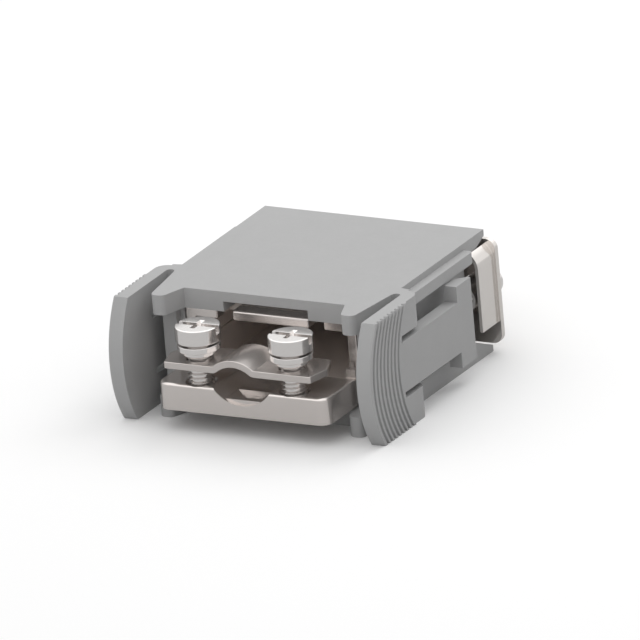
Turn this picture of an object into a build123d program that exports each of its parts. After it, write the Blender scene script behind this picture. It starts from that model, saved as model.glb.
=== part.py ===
from build123d import *
import os
from math import radians, tan

# Insert for a modular rectangular connector: a moulded body with snap-in finger levers,
# a die-cast screening chamber with a screwed cable clamp, and a nine-way D-shaped plug.
# X runs across the width, Y from the cable side to the mating side, Z up from the lower face.
# Depths are measured forward from the rear edge of the body's plates.

# Moulded body
body_height = 14.65
body_side_inset = 1.425
body_depth = 26.45
plate_thickness = 2.4
side_wall = 1.76
wall_inset = 0.62
side_wall_rear = 4.1
recess_side = 0.6
notch_half_width = 5.4
notch_height = 1.2
notch_depth = 3.4
flare_thickness = 0.75
edge_break = 0.2

# Ears at the four front corners
ear_length = 3.15
ear_tip_width = 1.6
ear_tip_inset = 0.98
ear_taper = 4.95
ear_tip_radius = 0.78

# Finger levers
lever_gap = 0.98
lever_thickness = 1.64
lever_tilt = 0.7
root_length = 1.9
root_height = 3.65
tongue_slot = 0.7
tongue_slot_setback = 0.4
tongue_rear = 8.5
tab_length = 3.4
tab_overhang = 1.9
tab_ramp = 1.3
grip_reach = 4.75
grip_bow = 2.3
rib_count = 9
rib_pitch = 0.85
rib_width = 0.72
rib_height = 0.2
rib_flank = 24.0
rib_overrun = 0.8
root_corner = 1.5

# Guide rails on the upper side edges
rail_drop = 0.78
rail_height = 1.37
rail_width = 1.18
rail_rear = 4.9
rail_corner = 0.45

# Die-cast screening shells
shell_side_gap = 0.7
shell_wall = 1.2
shell_top_gap = 0.15
shell_floor_gap = 0.2
shell_split = 6.85
shell_setback = 0.95
shell_rear = 5.5
lap_height = 0.6
lap_clearance = 0.05
slot_side = 4.1
slot_span = 1.93
slot_depth = 3.0
rib_clearance = 0.1
locating_rib = 1.4
locating_rib_count = 3

# Clamp table at the front of the lower shell
table_length = 7.15
table_top = 5.8
table_corner = 1.4
table_edge = 0.35
trough_radius = 4.5
trough_depth = 1.85
trough_rib = 0.8
trough_rib_height = 0.6
trough_rib_reach = 2.6
trough_rib_setback = 0.4
trough_rib_pitch = 3.1
trough_rib_count = 2
boss_radius = 2.5

# Cable clamp
screw_side = 4.95
screw_setback = 1.8
screw_radius = 1.5
screw_length = 7.7
screw_clearance = 0.05
screw_lead_in = 0.3
head_radius = 2.6
head_height = 1.85
head_edge = 0.25
head_underside = 10.75
slot_width = 0.8
slot_cut = 0.9
cross_width = 0.75
cross_reach = 1.5
cross_cut = 1.15
washer_radius = 2.5
washer_height = 0.95
washer_gap = 0.12
washer_split = 0.45
washer_split_angle = 25.0
ring_radius = 1.95
ring_height = 0.4
ring_gap = 0.08
ring_clearance = 0.03
saddle_overhang = 0.6
saddle_depth = 5.9
saddle_thickness = 0.8
saddle_underside = 7.8
saddle_side = 1.55
saddle_bulge = 0.7
saddle_corner = 0.3
saddle_hole_clearance = 0.1
arch_width = 4.6
arch_rise = 0.93
arch_bend = 1.1
arch_shift = -0.55

# Plug connector
flange_width = 30.81
flange_cover = 1.05
flange_corner = 1.2
flange_proud = 0.45
sheet = 0.35
seat_clearance = 0.08
fixing_inset = 2.91
shroud_length = 5.9
shroud_inner_width = 16.92
shroud_inner_height = 8.36
shroud_side_angle = 10.0
shroud_corner = 2.6
draw_bend = 0.5
wing_reach = 3.7
wing_inset = 0.305
wing_thickness = 0.4
wing_bottom = 3.7
wing_cover = 1.15
wing_bend = 2.3
wing_clearance = 0.12
pillar_radius = 1.74
pillar_front = 3.6
pillar_proud = 3.04
pillar_bore = 1.25
pillar_fit = 0.05

# Plug insulators and contacts
box_side = 1.14
box_rise = 0.52
box_depth = 3.6
box_corner = 1.2
insulator_clearance = 0.08
insulator_proud = 1.0
insulator_rear = 5.0
contact_pitch = 2.77
row_pitch = 2.84
contacts_in_long_row = 5
pin_radius = 0.51
pin_short = 0.5
contact_clearance = 0.05
cup_radius = 0.8
cup_length = 3.6

# Band within which edges are picked by their place
pick_band = 0.01

# Places worked out from the sizes above
table_front = body_depth + table_length
screw_depth = table_front - screw_setback
saddle_front = table_front + saddle_overhang
shell_front = body_depth - shell_setback
slot_end = body_depth - ear_taper
root_rear = slot_end - root_length
tongue_slot_end = body_depth - tongue_slot_setback
grip_corner = body_depth + grip_reach
grip_nose = grip_corner + grip_bow
overall_front = max(saddle_front, screw_depth + head_radius, grip_nose, table_front)
overall_rear = flange_proud + shroud_length
rear_y = (overall_front - overall_rear) / 2
mid_z = body_height / 2
flange_height = body_height - 2 * flange_cover
body_width = flange_width - 2 * body_side_inset
half_body = body_width / 2
wall_outer = half_body - wall_inset
wall_inner = wall_outer - side_wall
half_shell = wall_inner - shell_side_gap
shell_width = 2 * half_shell
recess_half_width = half_shell - recess_side
ear_tip_outer = half_body - ear_tip_inset
ear_tip_inner = ear_tip_outer - ear_tip_width
saddle_half_width = half_shell - saddle_side
screw_spacing = shell_width - 2 * screw_side
fixing_spacing = flange_width - 2 * fixing_inset
lever_inner = half_body + lever_gap
lever_outer = lever_inner + lever_thickness
recess_y = rear_y - body_depth
upper_underside = body_height - plate_thickness
shell_top = upper_underside - shell_top_gap
shell_bottom = plate_thickness + shell_floor_gap
shell_front_y = rear_y - shell_front
shell_rear_y = rear_y - shell_rear
table_front_y = rear_y - table_front
table_rear_y = recess_y
screw_y = rear_y - screw_depth
screw_places = {"left": -screw_spacing / 2, "right": screw_spacing / 2}
fixing_places = {"left": -fixing_spacing / 2, "right": fixing_spacing / 2}
flange_rear_y = rear_y + flange_proud
flange_mid_y = flange_rear_y - sheet
flange_front_y = flange_mid_y - sheet
mirrored_sides = (-1, 1)

os.makedirs("parts", exist_ok=True)


# Writes one finished piece under its own name
def save_piece(piece, name):
    piece.label = name
    export_step(piece, f"parts/{name}.step")


# Outline of an upper or lower plate with its two ears, seen from above
def plate_outline(height):
    tip_y = recess_y - ear_length
    with BuildSketch(Plane.XY.offset(height)) as outline:
        with BuildLine():
            Polyline(
                (0, rear_y),
                (half_body, rear_y),
                (half_body, rear_y - slot_end),
                (ear_tip_outer, tip_y),
                (ear_tip_inner, tip_y),
                (recess_half_width, recess_y),
                (0, recess_y),
                close=True,
            )
        make_face()
        fillet(outline.vertices().group_by(Axis.Y)[0], ear_tip_radius)
        mirror(about=Plane.YZ)
    return outline


# Front curve of a grip, moved back by a distance and drawn past both ends
def grip_curve(shift, overrun):
    nose = rear_y - grip_nose + shift
    corner = rear_y - grip_corner + shift
    sagitta = corner - nose
    radius = (mid_z**2 + sagitta**2) / (2 * sagitta)
    reach = mid_z + overrun
    end = nose + radius - (radius**2 - reach**2) ** 0.5
    return (end, -overrun), (nose, mid_z), (end, body_height + overrun)


# Grip ribs: upright sawn ridges that follow the grip's curved front edge
with BuildPart() as grip_ribs:
    for rib in range(rib_count):
        start = rib * rib_pitch
        with BuildSketch(Plane.YZ.offset(lever_outer)):
            with BuildLine():
                front = ThreePointArc(*grip_curve(start, rib_overrun))
                back = ThreePointArc(*grip_curve(start + rib_width, rib_overrun))
                Line(front @ 0, back @ 0)
                Line(front @ 1, back @ 1)
            make_face()
        extrude(amount=rib_height, taper=rib_flank)
    with Locations((lever_outer, rear_y - grip_corner, mid_z)):
        Box(4 * rib_height, 2 * body_depth, body_height, mode=Mode.INTERSECT)

# One finger lever on the right: grip plate, roots, tongue and latch tab
tongue_bottom = root_height + tongue_slot
tongue_height = body_height - 2 * tongue_bottom
with BuildPart() as lever:
    with BuildSketch(Plane.YZ.offset(lever_inner)):
        with BuildLine():
            nose_line = ThreePointArc(*grip_curve(0, 0))
            Polyline(
                nose_line @ 0,
                (rear_y - root_rear - lever_tilt, 0),
                (rear_y - root_rear - lever_tilt, body_height),
                nose_line @ 1,
            )
        make_face()
        slot_length = tongue_slot_end - root_rear
        for slot_z in (root_height + tongue_slot / 2, body_height - root_height - tongue_slot / 2):
            with Locations((rear_y - tongue_slot_end + slot_length / 2, slot_z)):
                Rectangle(slot_length - tongue_slot, tongue_slot, mode=Mode.SUBTRACT)
            with Locations((rear_y - tongue_slot_end + tongue_slot / 2, slot_z)):
                Circle(tongue_slot / 2, mode=Mode.SUBTRACT)
        tongue_length = slot_end - tongue_rear
        with Locations((rear_y - tongue_rear - tongue_length / 2, mid_z)):
            Rectangle(tongue_length, tongue_height)
        with Locations((rear_y - tongue_rear - tab_length / 2, mid_z)):
            Rectangle(tab_length, tongue_height + 2 * tab_overhang)
    extrude(amount=lever_thickness)
    tongue_end_y = rear_y - tongue_rear
    tongue_ends = lever.edges().filter_by(Axis.Z).filter_by_position(
        Axis.Y, tongue_end_y - pick_band, tongue_end_y + pick_band)
    chamfer(tongue_ends.group_by(Axis.X)[0], tab_ramp)
    root_end_y = rear_y - root_rear - lever_tilt
    root_ends = lever.edges().filter_by(Axis.Z).filter_by_position(
        Axis.Y, root_end_y - pick_band, root_end_y + pick_band)
    fillet(root_ends.group_by(Axis.X)[-1], min(root_corner, lever_thickness - edge_break))
    # Webs that join the lever to the plates and the side wall, round at the slot's end
    web_start = rear_y - slot_end - lever_gap / 2
    for web_base in (0, body_height - root_height):
        with BuildSketch(Plane.XY.offset(web_base)):
            with BuildLine():
                Polyline(
                    (wall_outer - edge_break, web_start),
                    (lever_inner + edge_break, web_start),
                    (lever_inner + edge_break, rear_y - root_rear - lever_tilt / 2),
                    (wall_outer - edge_break, rear_y - root_rear),
                    close=True,
                )
            make_face()
            with Locations((half_body + lever_gap / 2, web_start)):
                Circle(lever_gap / 2, mode=Mode.SUBTRACT)
        extrude(amount=root_height)
    add(grip_ribs.part)

# Guide rail on the right
rail_length = root_rear - rail_rear
with BuildPart() as rail:
    rail_plane = Plane.XY.offset(body_height - rail_drop - rail_height)
    with BuildSketch(rail_plane):
        with Locations((half_body + rail_width / 2, rear_y - rail_rear - rail_length / 2)):
            Rectangle(rail_width, rail_length)
    extrude(amount=rail_height)
    rail_end = rail.edges().filter_by(Axis.Z).group_by(Axis.Y)[-1]
    fillet(rail_end.sort_by(Axis.X)[-1], rail_corner)

# Moulded body: plates, side walls, levers, rails and inner ribs in one piece
with BuildPart() as housing:
    for base in (0, upper_underside):
        extrude(plate_outline(base).sketch, amount=plate_thickness)
    wall_length = body_depth - side_wall_rear
    with BuildSketch(Plane.XY.offset(plate_thickness)):
        for side in mirrored_sides:
            with Locations((side * (wall_inner + side_wall / 2), recess_y + wall_length / 2)):
                Rectangle(side_wall, wall_length)
            # Upright ribs that locate the screening shells
            rib_reach = wall_inner - half_shell - rib_clearance
            rib_step = (shell_front - shell_rear - locating_rib) / (locating_rib_count - 1)
            for place in range(locating_rib_count):
                rib_y = shell_front_y + locating_rib / 2 + place * rib_step
                with Locations((side * (half_shell + rib_clearance + rib_reach / 2), rib_y)):
                    Rectangle(rib_reach, locating_rib)
    extrude(amount=upper_underside - plate_thickness)
    # Inner faces of both plates flared towards the flange
    flare_depth = side_wall_rear
    with BuildSketch(Plane.YZ.offset(-half_body)):
        with BuildLine():
            Polyline(
                (rear_y, flare_thickness),
                (rear_y - flare_depth, plate_thickness),
                (rear_y - flare_depth, upper_underside),
                (rear_y, body_height - flare_thickness),
                close=True,
            )
        make_face()
    extrude(amount=body_width, mode=Mode.SUBTRACT)
    # Seat for the plug's flange at the rear of both plates
    seat_depth = rear_y - flange_front_y + seat_clearance
    with Locations((0, rear_y - seat_depth / 2, mid_z)):
        Box(body_width, seat_depth, flange_height + 2 * edge_break, mode=Mode.SUBTRACT)
    # Relief in the underside of the upper plate above the cable entry
    with Locations((0, recess_y + notch_depth / 2, upper_underside + notch_height / 2)):
        Box(2 * notch_half_width, notch_depth, notch_height, mode=Mode.SUBTRACT)
    add(lever.part)
    add(rail.part)
    mirror(lever.part, about=Plane.YZ)
    mirror(rail.part, about=Plane.YZ)
save_piece(housing.part, "housing")


# Rim of a screening shell, seen from above: two side walls
def side_walls(front, outer, wall):
    length = shell_rear_y - front
    with Locations((0, front + length / 2)):
        Rectangle(2 * outer, length)
        Rectangle(2 * (outer - wall), 2 * length, mode=Mode.SUBTRACT)


# Lower screening shell: clamp table with cable trough in front, open chamber behind
trough_z = table_top - trough_depth + trough_radius
boss_height = table_top - shell_bottom
with BuildPart() as lower_shell:
    # Clamp table with rounded upright corners
    with BuildSketch(Plane.XY.offset(shell_bottom)) as table_plan:
        with Locations((0, table_front_y + table_length / 2)):
            Rectangle(shell_width, table_length)
        fillet(table_plan.vertices().group_by(Axis.Y)[0], table_corner)
    extrude(amount=table_top - shell_bottom)
    fillet(lower_shell.faces().sort_by(Axis.Z)[-1].edges(), table_edge)
    # Hollow under the table
    with BuildSketch(Plane.XY.offset(shell_bottom)):
        with Locations((0, table_front_y + table_length / 2)):
            Rectangle(shell_width - 2 * shell_wall, table_length - 2 * shell_wall)
    extrude(amount=table_top - shell_bottom - shell_wall, mode=Mode.SUBTRACT)
    # Trough wall under the table top and bosses round the clamp screws
    with BuildSketch(Plane.XZ.offset(-table_front_y)) as trough_wall:
        with Locations((0, trough_z)):
            Circle(trough_radius + shell_wall)
        with Locations((0, table_top - shell_wall / 2 - trough_depth)):
            Rectangle(shell_width - 2 * shell_wall, 2 * trough_depth + shell_wall / 2, mode=Mode.INTERSECT)
    extrude(amount=-table_length)
    with BuildSketch(Plane.XY.offset(shell_bottom)):
        for place in screw_places.values():
            with Locations((place, screw_y)):
                Circle(boss_radius)
        with Locations((0, table_front_y + table_length / 2 + shell_wall / 2)):
            Rectangle(shell_width, table_length - shell_wall, mode=Mode.INTERSECT)
    extrude(amount=boss_height - table_edge)
    with BuildSketch(Plane.XZ.offset(-table_front_y)):
        with Locations((0, trough_z)):
            Circle(trough_radius)
    extrude(amount=-table_length, mode=Mode.SUBTRACT)
    # Ribs across the trough that grip the cable
    trough_floor = table_top - trough_depth
    with BuildSketch(Plane.XY.offset(trough_floor - shell_wall / 2)):
        for place in range(trough_rib_count):
            rib_y = table_front_y + trough_rib_setback + place * trough_rib_pitch + trough_rib / 2
            with Locations((0, rib_y)):
                Rectangle(2 * trough_rib_reach, trough_rib)
    extrude(amount=trough_rib_height + shell_wall / 2)
    bore = screw_radius + screw_clearance
    with Locations(*[(place, screw_y, table_top) for place in screw_places.values()]):
        CounterSinkHole(bore, bore + screw_lead_in)
    # Chamber floor and side walls
    chamber_length = shell_rear_y - table_rear_y
    with BuildSketch(Plane.XY.offset(shell_bottom)):
        with Locations((0, table_rear_y + chamber_length / 2)):
            Rectangle(shell_width, chamber_length)
    extrude(amount=shell_wall)
    with BuildSketch(Plane.XY.offset(shell_bottom)):
        side_walls(table_rear_y, half_shell, shell_wall)
    extrude(amount=shell_split - shell_bottom)
    # Raised inner lip that registers the upper shell
    with BuildSketch(Plane.XY.offset(shell_split)):
        side_walls(shell_front_y, half_shell - shell_wall / 2, shell_wall / 2)
    extrude(amount=lap_height)
save_piece(lower_shell.part, "lower_shell")

# Upper screening shell: cover with a slotted front edge, seated on the lower walls
with BuildPart() as upper_shell:
    cover_length = shell_rear_y - shell_front_y
    with BuildSketch(Plane.XY.offset(shell_top - shell_wall)):
        with Locations((0, shell_front_y + cover_length / 2)):
            Rectangle(shell_width, cover_length)
    extrude(amount=shell_wall)
    with BuildSketch(Plane.XY.offset(shell_split)):
        side_walls(shell_front_y, half_shell, shell_wall)
    extrude(amount=shell_top - shell_split)
    # Rebate for the lower shell's lip
    with BuildSketch(Plane.XY.offset(shell_split)):
        side_walls(shell_front_y, half_shell - shell_wall / 2 + lap_clearance, shell_wall)
    extrude(amount=lap_height + lap_clearance, mode=Mode.SUBTRACT)
    # Two slots in the front edge
    slot_middle = half_shell - slot_side - slot_span / 2
    with BuildSketch(Plane.XY.offset(shell_top - shell_wall)):
        for side in mirrored_sides:
            with Locations((side * slot_middle, shell_front_y + slot_depth / 2)):
                Rectangle(slot_span, slot_depth)
    extrude(amount=shell_wall, mode=Mode.SUBTRACT)
    front_edges = upper_shell.edges().filter_by(Axis.X).group_by(Axis.Y)[0]
    fillet(front_edges.group_by(Axis.Z)[-1], table_edge)
save_piece(upper_shell.part, "upper_shell")

# Clamp saddle: sheet-metal bridge with a raised arch over the cable
saddle_front_y = rear_y - saddle_front
saddle_rear_y = saddle_front_y + saddle_depth
half_arch = arch_width / 2
with BuildPart() as clamp_saddle:
    with BuildSketch(Plane.XZ.offset(-saddle_front_y)) as saddle_section:
        with BuildLine() as saddle_centre_line:
            saddle_end = saddle_half_width + saddle_bulge
            Line((-saddle_end, saddle_underside), (arch_shift - half_arch, saddle_underside))
            ThreePointArc(
                (arch_shift - half_arch, saddle_underside),
                (arch_shift, saddle_underside + arch_rise),
                (arch_shift + half_arch, saddle_underside),
            )
            Line((arch_shift + half_arch, saddle_underside), (saddle_end, saddle_underside))
            bends = saddle_centre_line.vertices().filter_by_position(Axis.X, -arch_width, arch_width)
            fillet(bends, arch_bend)
            offset(amount=saddle_thickness, side=Side.LEFT)
        make_face()
    extrude(amount=-saddle_depth)
    # Ends cut to blunt points, widest just behind the middle
    with BuildSketch(Plane.XY.offset(saddle_underside)) as saddle_plan:
        with BuildLine():
            Polyline(
                (0, saddle_front_y),
                (saddle_half_width, saddle_front_y),
                (saddle_half_width + saddle_bulge, saddle_front_y + saddle_depth / 2),
                (saddle_half_width - saddle_bulge / 2, saddle_rear_y),
                (0, saddle_rear_y),
                close=True,
            )
        make_face()
        mirror(about=Plane.YZ)
        fillet(saddle_plan.vertices(), saddle_corner)
    extrude(amount=saddle_thickness + arch_rise, mode=Mode.INTERSECT)
    with Locations(*[(place, screw_y, saddle_underside) for place in screw_places.values()]):
        Hole(screw_radius + saddle_hole_clearance)
save_piece(clamp_saddle.part, "clamp_saddle")

# Clamp screws with cheese heads, straight slot and cross recess
for name, place in screw_places.items():
    with BuildPart() as clamp_screw:
        with BuildSketch(Plane((place, screw_y, head_underside))):
            Circle(head_radius)
        extrude(amount=head_height)
        chamfer(clamp_screw.faces().sort_by(Axis.Z)[-1].edges(), head_edge)
        with BuildSketch(Plane((place, screw_y, head_underside))):
            Circle(screw_radius)
        extrude(amount=-screw_length)
        head_top = head_underside + head_height
        with Locations((place, screw_y, head_top - slot_cut / 2)):
            Box(3 * head_radius, slot_width, slot_cut, mode=Mode.SUBTRACT)
        with Locations((place, screw_y, head_top - cross_cut / 2)):
            Box(cross_width, 2 * cross_reach, cross_cut, mode=Mode.SUBTRACT)
            Box(2 * cross_reach, cross_width, cross_cut, mode=Mode.SUBTRACT)
    save_piece(clamp_screw.part, f"clamp_screw_{name}")

# Spring washers, split and sprung open across the cut
washer_base = head_underside - washer_gap - washer_height
washer_wall = washer_radius - screw_radius - screw_clearance
for name, place in screw_places.items():
    with BuildPart() as spring_washer:
        with BuildSketch(Plane((place, screw_y, washer_base))):
            Circle(washer_radius)
            Circle(screw_radius + screw_clearance, mode=Mode.SUBTRACT)
        extrude(amount=washer_height)
        split_place = (place, screw_y + washer_radius - washer_wall / 2, washer_base + washer_height / 2)
        with Locations(Location(split_place, (0, washer_split_angle, 0))):
            Box(washer_split, 2 * washer_wall, 3 * washer_height, mode=Mode.SUBTRACT)
    save_piece(spring_washer.part, f"spring_washer_{name}")

# Retaining rings that keep the spring washers on the screws
ring_base = washer_base - ring_gap - ring_height
for name, place in screw_places.items():
    with BuildPart() as retaining_ring:
        with BuildSketch(Plane((place, screw_y, ring_base))):
            Circle(ring_radius)
            Circle(screw_radius + ring_clearance, mode=Mode.SUBTRACT)
        extrude(amount=ring_height)
    save_piece(retaining_ring.part, f"retaining_ring_{name}")


# D-shaped outline with sloping sides, wide side up, seen from the mating side
def d_outline(width, height, corner):
    slope = height / 2 * tan(radians(shroud_side_angle))
    with BuildLine() as outline:
        FilletPolyline(
            (-width / 2, height / 2),
            (width / 2, height / 2),
            (width / 2 - 2 * slope, -height / 2),
            (-width / 2 + 2 * slope, -height / 2),
            radius=corner,
            close=True,
        )
    return outline.edges()


# Flange outline with its two fixing holes
def flange_plan(plane):
    with BuildSketch(plane) as plan:
        RectangleRounded(flange_width, flange_height, flange_corner)
        with Locations(*[(place, 0) for place in fixing_places.values()]):
            Circle(pillar_radius + pillar_fit, mode=Mode.SUBTRACT)
    return plan.sketch


# Plane seen from the cable side, with X to the right and Z up, at a given depth
def cross_plane(y):
    return Plane(origin=(0, y, mid_z), x_dir=(1, 0, 0), z_dir=(0, -1, 0))


# Plug shell: flange and drawn D-shaped shroud in one sheet
shroud_outer_width = shroud_inner_width + 2 * sheet
shroud_outer_height = shroud_inner_height + 2 * sheet
with BuildPart() as plug_shell:
    extrude(flange_plan(cross_plane(flange_rear_y)), amount=sheet)
    with BuildSketch(cross_plane(flange_rear_y)):
        make_face(d_outline(shroud_outer_width, shroud_outer_height, shroud_corner + sheet))
    extrude(amount=-shroud_length)
    # Drawn bend where the shroud rises from the flange
    side_reach = shroud_outer_width / 2 + pick_band
    rise_reach = shroud_outer_height / 2 + pick_band
    at_flange = plug_shell.edges().filter_by_position(
        Axis.Y, flange_rear_y - pick_band, flange_rear_y + pick_band)
    inside_sides = at_flange.filter_by_position(Axis.X, -side_reach, side_reach)
    shroud_root = inside_sides.filter_by_position(Axis.Z, mid_z - rise_reach, mid_z + rise_reach)
    chamfer(shroud_root, draw_bend)
    with BuildSketch(cross_plane(flange_mid_y)):
        make_face(d_outline(shroud_inner_width, shroud_inner_height, shroud_corner))
    extrude(amount=-(shroud_length + 2 * sheet), mode=Mode.SUBTRACT)
save_piece(plug_shell.part, "plug_shell")

# Rear shell: flange, drawn box and the two curled side wings
box_width = shroud_inner_width + 2 * box_side
box_height = shroud_inner_height + 2 * box_rise
half_wing = flange_width / 2 - wing_inset
wing_top = body_height - wing_cover
wing_inner = half_wing - wing_bend - wing_thickness
with BuildPart() as rear_shell:
    extrude(flange_plan(cross_plane(flange_mid_y)), amount=sheet)
    with BuildSketch(cross_plane(flange_mid_y)):
        RectangleRounded(box_width, box_height, box_corner)
    extrude(amount=box_depth + sheet)
    with BuildSketch(cross_plane(flange_mid_y)):
        RectangleRounded(box_width - 2 * sheet, box_height - 2 * sheet, box_corner - sheet)
    extrude(amount=2 * box_depth, mode=Mode.SUBTRACT)
    with BuildSketch(cross_plane(flange_front_y)):
        with BuildLine():
            FilletPolyline(
                (half_wing, wing_bottom - mid_z),
                (half_wing, wing_top - mid_z),
                (wing_inner, wing_top - mid_z),
                radius=wing_bend,
            )
            offset(amount=wing_thickness, side=Side.LEFT)
        make_face()
        mirror(about=Plane.YZ)
        Rectangle(body_width + 2 * wing_clearance, body_height, mode=Mode.SUBTRACT)
    extrude(amount=wing_reach)
save_piece(rear_shell.part, "rear_shell")

# Contact places: the long row above, the short row below
contact_places = []
for row, count in enumerate((contacts_in_long_row, contacts_in_long_row - 1)):
    row_z = mid_z + row_pitch / 2 - row * row_pitch
    for index in range(count):
        contact_places.append(((index - (count - 1) / 2) * contact_pitch, row_z))

# Insulator: D-shaped block at the root of the shroud, with a wider block in the rear shell's box
fit_width = shroud_inner_width - 2 * insulator_clearance
fit_height = shroud_inner_height - 2 * insulator_clearance
insulator_front_y = flange_rear_y + insulator_proud
insulator_back_y = rear_y - insulator_rear
with BuildPart() as insulator:
    with BuildSketch(cross_plane(insulator_front_y)):
        make_face(d_outline(fit_width, fit_height, shroud_corner))
    extrude(amount=insulator_front_y - flange_mid_y)
    with BuildSketch(cross_plane(flange_mid_y)):
        RectangleRounded(
            box_width - 2 * sheet - 2 * insulator_clearance,
            box_height - 2 * sheet - 2 * insulator_clearance,
            box_corner - sheet,
        )
    extrude(amount=flange_mid_y - insulator_back_y)
    with BuildSketch(cross_plane(insulator_front_y)):
        with Locations(*[(x, z - mid_z) for x, z in contact_places]):
            Circle(pin_radius + contact_clearance)
    extrude(amount=insulator_front_y - insulator_back_y, mode=Mode.SUBTRACT)
save_piece(insulator.part, "insulator")

# Contacts: turned pins with a wider solder end
pin_end_y = flange_rear_y + shroud_length - pin_short
cup_start_y = insulator_back_y - contact_clearance
for number, (x, z) in enumerate(contact_places, start=1):
    with BuildPart() as contact:
        with BuildSketch(Plane(origin=(x, pin_end_y, z), x_dir=(1, 0, 0), z_dir=(0, -1, 0))):
            Circle(pin_radius)
        extrude(amount=pin_end_y - cup_start_y)
        with BuildSketch(Plane(origin=(x, cup_start_y, z), x_dir=(1, 0, 0), z_dir=(0, -1, 0))):
            Circle(cup_radius)
        extrude(amount=cup_length)
    save_piece(contact.part, f"contact_{number}")

# Pillars through the flange, bored from the mating side
pillar_length = pillar_front + pillar_proud
for name, place in fixing_places.items():
    with BuildPart() as pillar:
        with BuildSketch(Plane(origin=(place, rear_y + pillar_proud, mid_z), x_dir=(1, 0, 0), z_dir=(0, -1, 0))):
            Circle(pillar_radius)
        extrude(amount=pillar_length)
        with BuildSketch(Plane(origin=(place, rear_y + pillar_proud, mid_z), x_dir=(1, 0, 0), z_dir=(0, -1, 0))):
            Circle(pillar_bore)
        extrude(amount=pillar_length, mode=Mode.SUBTRACT)
    save_piece(pillar.part, f"pillar_{name}")
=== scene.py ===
"""Dresses the connector module: moulded body, castings, cable clamp, plug and contacts.

Every piece is modelled in millimetres and brought to metres when it is settled on its body.
"""

import logging
from dataclasses import dataclass, field
from enum import Enum
from math import pi, radians

import bpy
from mathutils import Matrix, Vector


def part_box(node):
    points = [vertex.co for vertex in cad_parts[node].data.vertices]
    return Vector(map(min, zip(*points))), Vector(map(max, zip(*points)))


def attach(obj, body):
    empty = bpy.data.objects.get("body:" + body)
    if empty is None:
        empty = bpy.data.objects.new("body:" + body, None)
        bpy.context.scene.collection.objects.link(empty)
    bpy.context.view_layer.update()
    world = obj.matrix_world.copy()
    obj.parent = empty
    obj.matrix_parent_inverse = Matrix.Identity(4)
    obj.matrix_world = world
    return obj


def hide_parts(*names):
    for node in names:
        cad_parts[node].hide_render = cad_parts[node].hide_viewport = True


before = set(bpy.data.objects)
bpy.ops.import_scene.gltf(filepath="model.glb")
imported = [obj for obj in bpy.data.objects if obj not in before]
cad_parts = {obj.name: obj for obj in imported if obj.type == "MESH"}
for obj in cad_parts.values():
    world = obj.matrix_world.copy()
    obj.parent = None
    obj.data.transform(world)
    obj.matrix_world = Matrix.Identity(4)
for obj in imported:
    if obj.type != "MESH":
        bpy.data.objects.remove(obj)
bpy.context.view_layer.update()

logging.basicConfig(level=logging.INFO, format="%(message)s")
LOG = logging.getLogger("module")

MM = 0.001
Point = tuple[float, float, float]
Colour = tuple[float, float, float]

# Sides of a round form, rings of a ball, and steps of a sweep and of one turn of a thread
ROUND_SIDES = 96
BALL_RINGS = 64
SWEEP_STEPS = 72
THREAD_STEPS = 48
# Turns wound beyond a thread's length, half of them at each end, and how much wider the rod is that trims them
SPARE_TURNS = 3
TRIM_SHARE = 1.2
# Distances within which points are merged, on a copied skin and on a swept form
SKIN_MERGE = 0.0002
SWEEP_MERGE = 0.001
# Sharpest bend in degrees over which a copied skin counts as flat
FLAT_BEND = 0.4
# Noise values that a pattern is spread between
GRAIN_LOW, GRAIN_HIGH = 0.3, 0.7


class Rider(Enum):
    """The moving body that a piece rides on."""

    MODULE = "module"
    CLAMP = "clamp"
    SCREW_LEFT = "screw_left"
    SCREW_RIGHT = "screw_right"


class Slot(Enum):
    """The record's material slots."""

    BODY_PLASTIC = "body_plastic"
    DIE_CAST = "die_cast"
    SHEET_METAL = "sheet_metal"
    SCREW_STEEL = "screw_steel"
    INSULATOR_PLASTIC = "insulator_plastic"
    CONTACT_GOLD = "contact_gold"


class Joining(Enum):
    """How one solid is combined with another."""

    CUT = "DIFFERENCE"
    ADD = "UNION"
    KEEP_COMMON = "INTERSECT"


class Axis(Enum):
    """A direction to lay a rod along, with the turn that lays it there."""

    Y = ((0.0, 1.0, 0.0), (-pi / 2, 0.0, 0.0))
    Z = ((0.0, 0.0, 1.0), (0.0, 0.0, 0.0))

    @property
    def run(self) -> Vector:
        """The direction itself."""
        return Vector(self.value[0])

    @property
    def turn(self) -> Point:
        """The turn that lays an upright rod along it."""
        return self.value[1]


# Finishes


@dataclass(frozen=True)
class Zone:
    """A stretch of a piece along Y with a tone and metal of its own: real tin plating on the contacts, painted
    light on the castings.

    Attributes:
        start: Where it begins, in millimetres.
        end: Where it ends, in millimetres.
        tone: Its colour.
        metallic: How metallic it is.
        blend: Half the width over which it fades in and out.
    """

    start: float
    end: float
    tone: Colour
    metallic: float
    blend: float = 0.05


@dataclass(frozen=True)
class Grain:
    """A noise pattern on the piece's own coordinates.

    Attributes:
        size: Width of one grain in millimetres.
        detail: How many finer layers lie on it.
        stretch: How much longer the grain is along X, Y and Z.
    """

    size: float
    detail: float = 2.0
    stretch: Point = (1.0, 1.0, 1.0)


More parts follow.
